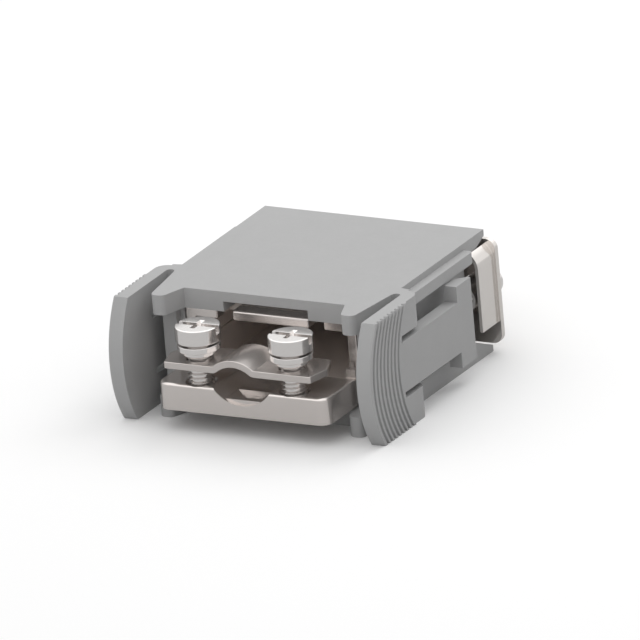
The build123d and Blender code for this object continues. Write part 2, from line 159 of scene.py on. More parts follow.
class Shader:
    """A material with its nodes, built step by step."""

    def __init__(self, name: str) -> None:
        """Starts an empty material.

        Args:
            name: The material's name.
        """
        self.material = bpy.data.materials.new(name)
        self.material.use_nodes = True
        self.tree = self.material.node_tree
        self.surface = self.tree.nodes["Principled BSDF"]
        self.place = self.node("ShaderNodeTexCoord").outputs["Object"]

    def node(self, kind: str) -> bpy.types.Node:
        """Adds a node of one kind."""
        return self.tree.nodes.new(kind)

    def link(self, output: bpy.types.NodeSocket, target: bpy.types.NodeSocket) -> None:
        """Joins an output to an input."""
        self.tree.links.new(output, target)

    def noise(self, grain: Grain) -> bpy.types.NodeSocket:
        """Adds a noise pattern.

        Args:
            grain: Its size, detail and stretch.

        Returns:
            The pattern's value, from 0 to 1.
        """
        mapping = self.node("ShaderNodeMapping")
        mapping.inputs["Scale"].default_value = tuple(1 / s for s in grain.stretch)
        noise = self.node("ShaderNodeTexNoise")
        noise.inputs["Scale"].default_value = 1 / (grain.size * MM)
        noise.inputs["Detail"].default_value = grain.detail
        self.link(self.place, mapping.inputs["Vector"])
        self.link(mapping.outputs["Vector"], noise.inputs["Vector"])
        return noise.outputs["Fac"]

    def between(self, value: bpy.types.NodeSocket, low: float, high: float) -> bpy.types.NodeSocket:
        """Spreads a 0 to 1 pattern over a range.

        Args:
            value: The pattern.
            low: What the dark grains become.
            high: What the light grains become.

        Returns:
            The spread value.
        """
        spread = self.node("ShaderNodeMapRange")
        spread.inputs["From Min"].default_value = GRAIN_LOW
        spread.inputs["From Max"].default_value = GRAIN_HIGH
        spread.inputs["To Min"].default_value = low
        spread.inputs["To Max"].default_value = high
        self.link(value, spread.inputs["Value"])
        return spread.outputs["Result"]

    def tint(self, value: bpy.types.NodeSocket, dark: Colour, light: Colour) -> None:
        """Colours the surface between two tones.

        Args:
            value: The pattern that chooses between them.
            dark: Tone of the dark grains.
            light: Tone of the light grains.
        """
        mix = self.node("ShaderNodeMix")
        mix.data_type = "RGBA"
        mix.inputs["A"].default_value = (*dark, 1.0)
        mix.inputs["B"].default_value = (*light, 1.0)
        self.link(self.between(value, 0.0, 1.0), mix.inputs["Factor"])
        self.link(mix.outputs["Result"], self.surface.inputs["Base Color"])

    def plating_and_painted_light(self, zone: Zone, metallic: float) -> None:
        """Gives one stretch of the piece another colour and metal: real plating on the contacts, painted light
        on the castings.

        Args:
            zone: The stretch.
            metallic: How metallic the rest is.
        """
        split = self.node("ShaderNodeSeparateXYZ")
        self.link(self.place, split.inputs[0])
        inside = None
        for edge, way in ((zone.start, 1), (zone.end, -1)):
            step = self.node("ShaderNodeMapRange")
            step.inputs["From Min"].default_value = (edge - way * zone.blend) * MM
            step.inputs["From Max"].default_value = (edge + way * zone.blend) * MM
            self.link(split.outputs["Y"], step.inputs["Value"])
            if inside is not None:
                self.link(inside, step.inputs["To Max"])
            inside = step.outputs["Result"]
        mix = self.node("ShaderNodeMix")
        mix.data_type = "RGBA"
        mix.inputs["B"].default_value = (*zone.tone, 1.0)
        self.link(inside, mix.inputs["Factor"])
        self.link(self.surface.inputs["Base Color"].links[0].from_socket, mix.inputs["A"])
        self.link(mix.outputs["Result"], self.surface.inputs["Base Color"])
        metal = self.node("ShaderNodeMapRange")
        metal.inputs["To Min"].default_value = metallic
        metal.inputs["To Max"].default_value = zone.metallic
        self.link(inside, metal.inputs["Value"])
        self.link(metal.outputs["Result"], self.surface.inputs["Metallic"])

    def relief(self, values: list[tuple[bpy.types.NodeSocket, float]]) -> None:
        """Raises the surface by patterns, each to its own depth in millimetres.

        Args:
            values: Pairs of pattern and depth.
        """
        normal = None
        for value, depth in values:
            bump = self.node("ShaderNodeBump")
            bump.inputs["Distance"].default_value = depth * MM
            self.link(value, bump.inputs["Height"])
            if normal is not None:
                self.link(normal, bump.inputs["Normal"])
            normal = bump.outputs["Normal"]
        self.link(normal, self.surface.inputs["Normal"])


@dataclass(frozen=True)
class Finish:
    """A surface finish with grain in its tone, gloss and relief.

    Attributes:
        name: The material's name.
        tone: Mean colour.
        tone_spread: How far the grain moves the colour, as a share of it.
        tone_grain: Pattern of the colour.
        roughness: Lowest and highest roughness.
        gloss_grain: Pattern of the roughness.
        relief: Patterns of the relief with their depths in millimetres.
        metallic: 1 for metal, 0 for plastic.
        specular: Strength of the plastic's gloss.
        zone: A stretch with a tone and metal of its own, where there is one: real plating on the contacts,
            painted light on the castings.
    """

    name: str
    tone: Colour
    tone_spread: float
    tone_grain: Grain
    roughness: tuple[float, float]
    gloss_grain: Grain
    relief: tuple[tuple[Grain, float], ...]
    metallic: float = 0.0
    specular: float = 0.5
    zone: Zone | None = None

    def material(self) -> bpy.types.Material:
        """Makes the material once and returns it."""
        made = bpy.data.materials.get(self.name)
        if made is not None:
            return made
        shader = Shader(self.name)
        shader.surface.inputs["Metallic"].default_value = self.metallic
        shader.surface.inputs["Specular IOR Level"].default_value = self.specular
        dark = tuple(c * (1 - self.tone_spread) for c in self.tone)
        light = tuple(min(1.0, c * (1 + self.tone_spread)) for c in self.tone)
        shader.tint(shader.noise(self.tone_grain), dark, light)
        # The zone is real plating on the contacts and painted light on the castings
        if self.zone is not None:
            shader.plating_and_painted_light(self.zone, self.metallic)
        gloss = shader.between(shader.noise(self.gloss_grain), *self.roughness)
        shader.link(gloss, shader.surface.inputs["Roughness"])
        shader.relief([(shader.noise(grain), depth) for grain, depth in self.relief])
        return shader.material


MOULDED_GREY = Finish(
    name="moulded_grey",
    tone=(0.445, 0.445, 0.445),
    tone_spread=0.012,
    tone_grain=Grain(size=2.6, detail=4.0),
    roughness=(0.5, 0.62),
    gloss_grain=Grain(size=0.5, detail=3.0),
    relief=((Grain(size=0.09, detail=2.0), 0.0015), (Grain(size=3.5, detail=1.0), 0.004)),
    specular=0.12,
)
NICKEL_CASTING = Finish(
    name="nickel_casting",
    tone=(0.70, 0.655, 0.628),
    tone_spread=0.012,
    tone_grain=Grain(size=1.1, detail=5.0),
    roughness=(0.2, 0.26),
    gloss_grain=Grain(size=0.35, detail=3.0),
    relief=((Grain(size=0.16, detail=3.0), 0.0003), (Grain(size=1.8, detail=1.0), 0.002)),
    metallic=0.76,
    # Painted light: the castings' stretch from Y -9.8 to 12 mm, inside the wiring chamber, gets a lighter,
    # hardly metallic tone so that this shaded stretch reads lit
    zone=Zone(start=-9.8, end=12.0, tone=(0.8, 0.73, 0.685), metallic=0.1),
)
NICKEL_SHEET = Finish(
    name="nickel_sheet",
    tone=(0.77, 0.735, 0.705),
    tone_spread=0.012,
    tone_grain=Grain(size=0.7, detail=4.0, stretch=(6.0, 1.0, 1.0)),
    roughness=(0.16, 0.22),
    gloss_grain=Grain(size=0.2, detail=3.0, stretch=(8.0, 1.0, 1.0)),
    relief=(
        (Grain(size=0.07, detail=2.0, stretch=(12.0, 1.0, 1.0)), 0.0002),
        (Grain(size=2.2, detail=1.0), 0.0015),
    ),
    metallic=0.85,
)
SADDLE_SHEET = Finish(
    name="saddle_sheet",
    tone=(0.64, 0.6, 0.575),
    tone_spread=0.015,
    tone_grain=Grain(size=0.9, detail=4.0, stretch=(1.0, 5.0, 1.0)),
    roughness=(0.2, 0.26),
    gloss_grain=Grain(size=0.25, detail=3.0, stretch=(1.0, 6.0, 1.0)),
    relief=(
        (Grain(size=0.08, detail=2.0, stretch=(1.0, 10.0, 1.0)), 0.0002),
        (Grain(size=2.0, detail=1.0), 0.0015),
    ),
    metallic=0.8,
)
BRIGHT_STEEL = Finish(
    name="bright_steel",
    tone=(0.78, 0.755, 0.74),
    tone_spread=0.012,
    tone_grain=Grain(size=0.5, detail=4.0),
    roughness=(0.12, 0.17),
    gloss_grain=Grain(size=0.15, detail=3.0),
    relief=((Grain(size=0.08, detail=2.0, stretch=(1.0, 1.0, 0.3)), 0.0003),),
    metallic=0.88,
)
DARK_INSULATOR = Finish(
    name="dark_insulator",
    tone=(0.24, 0.222, 0.207),
    tone_spread=0.12,
    tone_grain=Grain(size=0.12, detail=4.0, stretch=(3.0, 1.0, 1.0)),
    roughness=(0.42, 0.6),
    gloss_grain=Grain(size=0.25, detail=3.0),
    relief=((Grain(size=0.08, detail=2.0), 0.003),),
    specular=0.4,
)
GOLD_PLATING = Finish(
    name="gold_plating",
    tone=(0.85, 0.62, 0.26),
    tone_spread=0.04,
    tone_grain=Grain(size=0.4, detail=3.0),
    roughness=(0.16, 0.26),
    gloss_grain=Grain(size=0.1, detail=3.0, stretch=(1.0, 0.2, 1.0)),
    relief=((Grain(size=0.05, detail=2.0, stretch=(6.0, 1.0, 6.0)), 0.0008),),
    metallic=1.0,
    zone=Zone(start=0.0, end=12.0, tone=(0.45, 0.43, 0.41), metallic=0.6),
)


class Bench:
    """Modelling steps on meshes, in millimetres."""

    @staticmethod
    def clear() -> None:
        """Deselects everything."""
        bpy.ops.object.select_all(action="DESELECT")

    @staticmethod
    def take(piece: bpy.types.Object) -> None:
        """Makes one piece the only selected and active one."""
        Bench.clear()
        piece.select_set(True)
        bpy.context.view_layer.objects.active = piece

    @staticmethod
    def added(name: str) -> bpy.types.Object:
        """Names the primitive just added and puts its place in its mesh.

        Args:
            name: The piece's name.

        Returns:
            The piece.
        """
        piece = bpy.context.object
        piece.name = name
        piece.data.name = name
        bpy.ops.object.transform_apply(location=True, rotation=True, scale=True)
        return piece

    @staticmethod
    def block(name: str, low: Point, high: Point) -> bpy.types.Object:
        """Adds a block between two corners.

        Args:
            name: The block's name.
            low: Its lowest corner.
            high: Its highest corner.

        Returns:
            The block.
        """
        Bench.clear()
        middle = (Vector(low) + Vector(high)) / 2
        size = Vector(high) - Vector(low)
        bpy.ops.mesh.primitive_cube_add(size=1.0, location=middle, scale=size)
        return Bench.added(name)

    @staticmethod
    def rod(
        name: str, base: Point, length: float, radius: float, axis: Axis = Axis.Z, tip: float | None = None
    ) -> bpy.types.Object:
        """Adds a round or tapered rod from its base along an axis.

        Args:
            name: The rod's name.
            base: Centre of its first end.
            length: Its length along the axis.
            radius: Radius of its first end.
            axis: The way it runs.
            tip: Radius of its far end, where that differs.

        Returns:
            The rod.
        """
        Bench.clear()
        bpy.ops.mesh.primitive_cone_add(
            vertices=ROUND_SIDES,
            radius1=radius,
            radius2=radius if tip is None else tip,
            depth=length,
            location=Vector(base) + axis.run * (length / 2),
            rotation=axis.turn,
        )
        return Bench.added(name)

    @staticmethod
    def apply(piece: bpy.types.Object, modifier: bpy.types.Modifier) -> None:
        """Applies a modifier to its piece."""
        Bench.take(piece)
        bpy.ops.object.modifier_apply(modifier=modifier.name)

    @staticmethod
    def combine(piece: bpy.types.Object, tool: bpy.types.Object, joining: Joining) -> bpy.types.Object:
        """Cuts, adds or keeps what another solid covers, and removes that solid.

        Args:
            piece: The solid that changes.
            tool: The solid that shapes it.
            joining: What happens where they meet.

        Returns:
            The changed piece.
        """
        modifier = piece.modifiers.new("Combine", "BOOLEAN")
        modifier.operation = joining.value
        modifier.solver = "EXACT"
        modifier.object = tool
        Bench.apply(piece, modifier)
        bpy.data.objects.remove(tool)
        return piece

    @staticmethod
    def soften(piece: bpy.types.Object, width: float, segments: int = 3, angle: float = 32.0) -> None:
        """Rounds every edge that is sharper than an angle.

        Args:
            piece: The piece.
            width: Width of the rounding.
            segments: Steps across it.
            angle: Sharpest bend in degrees that stays as it is.
        """
        modifier = piece.modifiers.new("Soften", "BEVEL")
        modifier.width = width
        modifier.segments = segments
        modifier.limit_method = "ANGLE"
        modifier.angle_limit = radians(angle)
        modifier.miter_outer = "MITER_ARC"
        Bench.apply(piece, modifier)

    @staticmethod
    def shade(piece: bpy.types.Object, angle: float = 40.0) -> None:
        """Shades the piece smooth up to an angle, with flat faces kept flat.

        Args:
            piece: The piece.
            angle: Sharpest bend in degrees that is smoothed.
        """
        Bench.take(piece)
        bpy.ops.object.shade_smooth_by_angle(angle=radians(angle))
        modifier = piece.modifiers.new("Flatten", "WEIGHTED_NORMAL")
        modifier.keep_sharp = True
        modifier.weight = 80
        Bench.apply(piece, modifier)

    @staticmethod
    def copy_of(node: str, name: str) -> bpy.types.Object:
        """Copies a node's solid as one merged skin with whole flat faces, in millimetres.

        Args:
            node: The node's name.
            name: The copy's name.

        Returns:
            The copy.
        """
        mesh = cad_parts[node].data.copy()
        mesh.name = name
        mesh.materials.clear()
        piece = bpy.data.objects.new(name, mesh)
        bpy.context.collection.objects.link(piece)
        Bench.take(piece)
        piece.scale = (1 / MM,) * 3
        bpy.ops.object.transform_apply(location=False, rotation=False, scale=True)
        bpy.ops.mesh.customdata_custom_splitnormals_clear()
        bpy.ops.object.mode_set(mode="EDIT")
        bpy.ops.mesh.select_all(action="SELECT")
        bpy.ops.mesh.remove_doubles(threshold=SKIN_MERGE)
        bpy.ops.mesh.dissolve_limited(angle_limit=radians(FLAT_BEND))
        bpy.ops.object.mode_set(mode="OBJECT")
        return piece

    @staticmethod
    def swept(name: str, profile: list[Point], axis: str, angle: float, rise: float = 0.0) -> bpy.types.Object:
        """Sweeps a profile part of the way round an axis through the origin.

        Args:
            name: The solid's name.
            profile: Corners of the profile.
            axis: Name of the axis.
            angle: How far it is swept, in degrees.
            rise: How far it moves along the axis meanwhile.

        Returns:
            The closed solid.
        """
        mesh = bpy.data.meshes.new(name)
        mesh.from_pydata(profile, [], [tuple(range(len(profile)))])
        piece = bpy.data.objects.new(name, mesh)
        bpy.context.collection.objects.link(piece)
        sweep = piece.modifiers.new("Sweep", "SCREW")
        sweep.axis = axis
        sweep.angle = radians(angle)
        sweep.screw_offset = rise
        sweep.steps = sweep.render_steps = SWEEP_STEPS
        Bench.apply(piece, sweep)
        bpy.ops.object.mode_set(mode="EDIT")
        bpy.ops.mesh.select_all(action="SELECT")
        bpy.ops.mesh.remove_doubles(threshold=SWEEP_MERGE)
        bpy.ops.mesh.fill_holes(sides=len(profile))
        bpy.ops.mesh.select_all(action="SELECT")
        bpy.ops.mesh.normals_make_consistent(inside=False)
        bpy.ops.object.mode_set(mode="OBJECT")
        return piece

    @staticmethod
    def thread(
        name: str, centre: Point, length: float, outer: float, root: float, pitch: float
    ) -> bpy.types.Object:
        """Winds a screw thread upwards round a centre line.

        Args:
            name: The thread's name.
            centre: Where its lower end stands.
            length: Its length along Z.
            outer: Radius over the crests.
            root: Radius at the roots.
            pitch: Rise in one turn.

        Returns:
            A closed solid with flat ends.
        """
        turns = int(length / pitch) + SPARE_TURNS
        mesh = bpy.data.meshes.new(name)
        # Radius, and the share of the pitch at which the profile has it
        profile = ((root, 0.0), (root, 0.14), (outer, 0.44), (outer, 0.56), (root, 0.86), (root, 1.0))
        points = [(radius, 0.0, share * pitch) for radius, share in profile]
        mesh.from_pydata(points, [(i, i + 1) for i in range(len(points) - 1)], [])
        piece = bpy.data.objects.new(name, mesh)
        bpy.context.collection.objects.link(piece)
        wind = piece.modifiers.new("Wind", "SCREW")
        wind.angle = 2 * pi
        wind.screw_offset = pitch
        wind.iterations = turns
        wind.steps = wind.render_steps = THREAD_STEPS
        wind.use_merge_vertices = True
        wind.merge_threshold = SWEEP_MERGE
        Bench.apply(piece, wind)
        bpy.ops.object.mode_set(mode="EDIT")
        bpy.ops.mesh.select_all(action="SELECT")
        bpy.ops.mesh.remove_doubles(threshold=SWEEP_MERGE)
        bpy.ops.mesh.select_all(action="SELECT")
        bpy.ops.mesh.fill_holes(sides=0)
        bpy.ops.mesh.select_all(action="SELECT")
        bpy.ops.mesh.normals_make_consistent(inside=False)
        bpy.ops.object.mode_set(mode="OBJECT")
        piece.location = Vector(centre) - Vector((0, 0, SPARE_TURNS / 2 * pitch))
        bpy.ops.object.transform_apply(location=True, rotation=False, scale=False)
        keep = Bench.rod(name + "_keep", centre, length, outer * TRIM_SHARE)
        return Bench.combine(piece, keep, Joining.KEEP_COMMON)


@dataclass
class Assembly:
    """A group of pieces that are made together."""

    made: list[bpy.types.Object] = field(default_factory=list)

    def settle(
        self, piece: bpy.types.Object, finish: Finish, slot: Slot, rider: Rider, stands_for: tuple[str, ...]
    ) -> bpy.types.Object:
        """Brings a piece to metres, dresses it and lets it ride on its body.

        Args:
            piece: The finished mesh, in millimetres.
            finish: Its surface.
            slot: The record's material slot; not used.
            rider: The body that carries it.
            stands_for: Nodes that aren't shown because this piece takes their place.

        Returns:
            The settled piece.
        """
        Bench.take(piece)
        piece.scale = (MM,) * 3
        bpy.ops.object.transform_apply(location=False, rotation=False, scale=True)
        piece.data.materials.clear()
        piece.data.materials.append(finish.material())
        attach(piece, rider.value)
        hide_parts(*stands_for)
        self.made.append(piece)
        LOG.info("%s: %d faces on %s", piece.name, len(piece.data.polygons), rider.value)
        return piece

    def dressed(
        self, node: str, name: str, rounding: float, finish: Finish, slot: Slot, rider: Rider, angle: float
    ) -> bpy.types.Object:
        """Makes a softened copy of a node and settles it in the node's place.

        Args:
            node: The node's name.
            name: The piece's name.
            rounding: Width of its rounded edges in millimetres.
            finish: Its surface.
            slot: The record's material slot.
            rider: The body that carries it.
            angle: Sharpest bend in degrees that stays as it is.

        Returns:
            The piece.
        """
        piece = Bench.copy_of(node, name)
        Bench.soften(piece, rounding, angle=angle)
        Bench.shade(piece)
        return self.settle(piece, finish, slot, rider, (node,))


@dataclass
class MouldedBody(Assembly):
    """The grey moulded body with its finger levers.

    Attributes:
        edge: Width of its broken edges in millimetres.
        bow: How far the grips' front edge bulges between its ends.
        groove_count: Grooves on each grip.
        groove_pitch: Distance from one to the next.
        groove_start: How far the first groove's middle lies behind the front edge.
        groove_mouth: Width of a groove at its mouth.
        groove_floor: Width of its floor.
        groove_depth: Its depth.
        groove_overrun: How far the saw stands out of the grip's face.
        groove_sweep: How far the saw turns round the bow, in degrees.
    """

    edge: float = 0.05
    bow: float = 2.3
    groove_count: int = 8
    groove_pitch: float = 0.85
    groove_start: float = 0.785
    groove_mouth: float = 0.46
    groove_floor: float = 0.3
    groove_depth: float = 0.3
    groove_overrun: float = 0.1
    groove_sweep: float = 84.0

    def grooves(self, body: bpy.types.Object) -> None:
        """Saws the upright grooves of both grips along their bowed front edge.

        Args:
            body: The moulded body.
        """
        low, high = (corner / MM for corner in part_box("housing"))
        half = high.z / 2
        radius = (half**2 + self.bow**2) / (2 * self.bow)
        nose = min(v.co.y for v in body.data.vertices)
        mouth, floor = self.groove_mouth / 2, self.groove_floor / 2
        for face, way in ((low.x, 1), (high.x, -1)):
            outside, inside = face - way * self.groove_overrun, face + way * self.groove_depth
            profile = [(outside, mouth), (inside, floor), (inside, -floor), (outside, -mouth)]
            corners = [(x, y - radius, 0.0) for x, y in profile]
            for number in range(self.groove_count):
                saw = Bench.swept("saw", corners, "X", self.groove_sweep)
                saw.rotation_euler = (radians(-self.groove_sweep / 2), 0.0, 0.0)
                saw.location = (0.0, nose + self.groove_start + number * self.groove_pitch + radius, half)
                Bench.take(saw)
                bpy.ops.object.transform_apply(location=True, rotation=True, scale=False)
                Bench.combine(body, saw, Joining.CUT)

    def build(self) -> None:
        """Makes the body."""
        body = Bench.copy_of("housing", "moulded_body")
        self.grooves(body)
        Bench.soften(body, self.edge)
        Bench.shade(body)
        self.settle(body, MOULDED_GREY, Slot.BODY_PLASTIC, Rider.MODULE, ("housing",))


@dataclass
class ScreenShells(Assembly):
    """The two die-cast shells round the wiring chamber.

    Attributes:
        edge: Width of the castings' rounded edges in millimetres.
    """

    edge: float = 0.16

    def build(self) -> None:
        """Makes both shells."""
        for node, name in (("lower_shell", "lower_casting"), ("upper_shell", "upper_casting")):
            self.dressed(node, name, self.edge, NICKEL_CASTING, Slot.DIE_CAST, Rider.MODULE, angle=40.0)


@dataclass
class CableClamp(Assembly):
    """The clamp saddle with its screws, spring washers and retaining rings.

    Attributes:
        saddle_edge: Rounding of the stamped saddle's edges.
        head_height: Height of the head.
        head_round: Rounding of the head's edges.
        recess_edge: Rounding of the edges of slot and cross.
        tool_overrun: How far a cutting tool stands out of what it cuts.
        slot_width: Width of the straight slot.
        slot_depth: Depth of the straight slot.
        cross_reach: Half the length of the cross at the top.
        cross_width: Width of the cross's arms.
        cross_depth: Depth of the cross.
        cross_taper: Length and width of the cross's floor as shares of its mouth's.
        cross_overrun: How far above the head the taper begins.
        thread_outer: Radius over the thread's crests.
        thread_root: Radius at the thread's roots.
        pitch: Rise of the thread in one turn.
        thread_stop: How far the thread stops short of the head.
        point_inset: How much smaller the point's tip is than the thread's root.
        point_overrun: How far the tool for the point stands out of the thread's end.
        neck_inset: How much thinner the neck is than the thread.
        neck_length: Length of the neck under the head.
        neck_overlap: How far the neck reaches into the head.
        washer_inner: Inner radius of a spring washer.
        washer_wall: Radial width of its wire.
        washer_height: Height of its wire.
        washer_rise: How far its cut ends stand apart.
        washer_turn: How far its wire is wound, in degrees.
        washer_start: Where its cut stands, in degrees.
        washer_edge: Rounding of its wire.
        ring_edge: Rounding of the retaining rings.
    """

    saddle_edge: float = 0.08
    head_height: float = 1.85
    head_round: float = 0.14
    recess_edge: float = 0.05
    tool_overrun: float = 1.0
    slot_width: float = 0.8
    slot_depth: float = 0.9
    cross_reach: float = 1.5
    cross_width: float = 0.62
    cross_depth: float = 1.25
    cross_taper: tuple[float, float] = (0.35, 0.55)
    cross_overrun: float = 0.3
    thread_outer: float = 1.5
    thread_root: float = 1.2
    pitch: float = 0.5
    thread_stop: float = 0.4
    point_inset: float = 0.15
    point_overrun: float = 0.01
    neck_inset: float = 0.12
    neck_length: float = 1.0
    neck_overlap: float = 0.3
    washer_inner: float = 1.56
    washer_wall: float = 0.92
    washer_height: float = 0.7
    washer_rise: float = 0.12
    washer_turn: float = 350.0
    washer_start: float = 95.0
    washer_edge: float = 0.08
    ring_edge: float = 0.08

    def screw(self, side: str) -> None:
        """Makes one clamp screw.

        Args:
            side: Which of the two screws it is.
        """
        node = f"clamp_screw_{side}"
        low, high = (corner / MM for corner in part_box(node))
        x, y = (low.x + high.x) / 2, (low.y + high.y) / 2
        base = high.z - self.head_height
        radius = (high.x - low.x) / 2
        head = Bench.rod(f"{side}_clamp_screw", (x, y, base), self.head_height, radius)
        Bench.soften(head, self.head_round, segments=5, angle=60.0)
        reach = radius + self.tool_overrun
        half = self.slot_width / 2
        floor, top = high.z - self.slot_depth, high.z + self.tool_overrun
        slot = Bench.block("slot", (x - reach, y - half, floor), (x + reach, y + half, top))
        Bench.combine(head, slot, Joining.CUT)
        for turn in range(2):
            Bench.combine(head, self.cross_arm(Vector((x, y, high.z)), turn), Joining.CUT)
        Bench.soften(head, self.recess_edge, segments=2, angle=50.0)
        length = base - low.z
        wound = length - self.thread_stop
        shank = Bench.thread("shank", (x, y, low.z), wound, self.thread_outer, self.thread_root, self.pitch)
        foot = (x, y, low.z - self.point_overrun)
        tip = self.thread_root - self.point_inset
        point = Bench.rod("point", foot, length, tip, tip=self.thread_root + length)
        Bench.combine(shank, point, Joining.KEEP_COMMON)
        neck_foot = (x, y, base + self.neck_overlap - self.neck_length)
        neck = Bench.rod("neck", neck_foot, self.neck_length, self.thread_outer - self.neck_inset)
        Bench.combine(shank, neck, Joining.ADD)
        Bench.combine(head, shank, Joining.ADD)
        Bench.shade(head, angle=35.0)
        rider = Rider.SCREW_LEFT if side == "left" else Rider.SCREW_RIGHT
        self.settle(head, BRIGHT_STEEL, Slot.SCREW_STEEL, rider, (node,))

    def cross_arm(self, top: Vector, turn: int) -> bpy.types.Object:
        """Makes the tool that cuts one pair of a cross recess's tapered arms.

        Args:
            top: Centre of the head's top.
            turn: 0 for the arms along X, 1 for those along Y.

        Returns:
            The tool.
        """
        half = self.cross_width / 2
        low = (-self.cross_reach, -half, -self.cross_depth)
        arm = Bench.block("arm", low, (self.cross_reach, half, self.cross_overrun))
        bpy.ops.object.mode_set(mode="EDIT")
        bpy.ops.mesh.select_all(action="DESELECT")
        bpy.ops.object.mode_set(mode="OBJECT")
        for face in arm.data.polygons:
            face.select = face.normal.z < -0.5
        bpy.ops.object.mode_set(mode="EDIT")
        bpy.ops.transform.resize(value=(*self.cross_taper, 1.0), center_override=(0.0, 0.0, low[2]))
        bpy.ops.object.mode_set(mode="OBJECT")
        arm.rotation_euler = (0.0, 0.0, turn * pi / 2)
        arm.location = top
        bpy.ops.object.transform_apply(location=True, rotation=True, scale=False)
        return arm

    def spring_washer(self, side: str) -> None:
        """Makes one split washer as a wire wound once round.

        Args:
            side: Which of the two washers it is.
        """
        node = f"spring_washer_{side}"
        low, high = (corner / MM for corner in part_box(node))
        x, y = (low.x + high.x) / 2, (low.y + high.y) / 2
        inner, outer = self.washer_inner, self.washer_inner + self.washer_wall
        top = self.washer_height
        corners = [(inner, 0, 0), (outer, 0, 0), (outer, 0, top), (inner, 0, top)]
        washer = Bench.swept(f"{side}_spring_washer", corners, "Z", self.washer_turn, self.washer_rise)
        washer.rotation_euler = (0.0, 0.0, radians(self.washer_start))
        washer.location = (x, y, low.z)
        bpy.ops.object.transform_apply(location=True, rotation=True, scale=False)
        Bench.soften(washer, self.washer_edge, angle=50.0)
        Bench.shade(washer, angle=35.0)
        self.settle(washer, BRIGHT_STEEL, Slot.SCREW_STEEL, Rider.CLAMP, (node,))

    def build(self) -> None:
        """Makes the saddle and all that holds it."""
        self.dressed(
            "clamp_saddle", "saddle", self.saddle_edge, SADDLE_SHEET, Slot.SHEET_METAL, Rider.CLAMP, angle=40.0
        )
        for side in ("left", "right"):
            self.screw(side)
            self.spring_washer(side)
            self.dressed(
                f"retaining_ring_{side}",
                f"{side}_retaining_ring",
                self.ring_edge,
                BRIGHT_STEEL,
                Slot.SCREW_STEEL,
                Rider.CLAMP,
                angle=50.0,
            )


